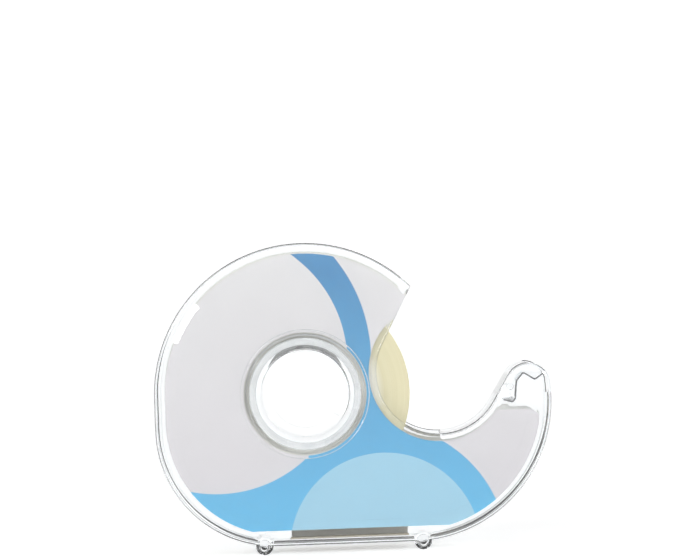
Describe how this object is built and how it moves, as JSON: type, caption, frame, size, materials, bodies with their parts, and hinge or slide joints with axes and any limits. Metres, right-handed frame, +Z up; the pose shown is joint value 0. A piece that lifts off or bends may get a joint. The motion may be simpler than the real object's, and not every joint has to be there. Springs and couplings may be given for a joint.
{
  "type": "tape dispenser",
  "caption": "Hand-held clear plastic tape dispenser with a turning roll of tape, a serrated steel cutter in its head and a pull-off cheek.",
  "frame": {"origin": "on the surface that the dispenser stands on, midway along its length and its width", "axes": "+X from the drum towards the nose with the cutter, +Y from the pull-off cover towards the rear cheek, +Z up"},
  "size_m": [0.0994, 0.025, 0.0778],
  "materials": {
    "clear_shell": "polished clear polystyrene",
    "cutter_steel": "bright stamped strip",
    "printed_card": "coated print on the outside, pale lining inside, bare grey board on the tab",
    "core_plastic": "smooth white moulded plastic",
    "tape_roll": "stacked edges of clear tape, slightly milky"
  },
  "bodies": {
    "shell": {"rear_body": "clear_shell", "cutter_blade": "cutter_steel", "rear_inlay": "printed_card"},
    "cover": {"front_cover": "clear_shell", "front_inlay": "printed_card"},
    "roll": {"tape_core": "core_plastic", "tape_winding": "tape_roll"}
  },
  "joints": [
    {"name": "roll_spin", "type": "hinge", "parent": "shell", "child": "roll", "pos_m": [-0.0119, 0, 0.04], "axis": [0, 1, 0], "continuous": true},
    {"name": "cover_pull", "type": "slide", "parent": "shell", "child": "cover", "axis": [0, -1, 0], "range_m": [0, 0.03]}
  ]
}
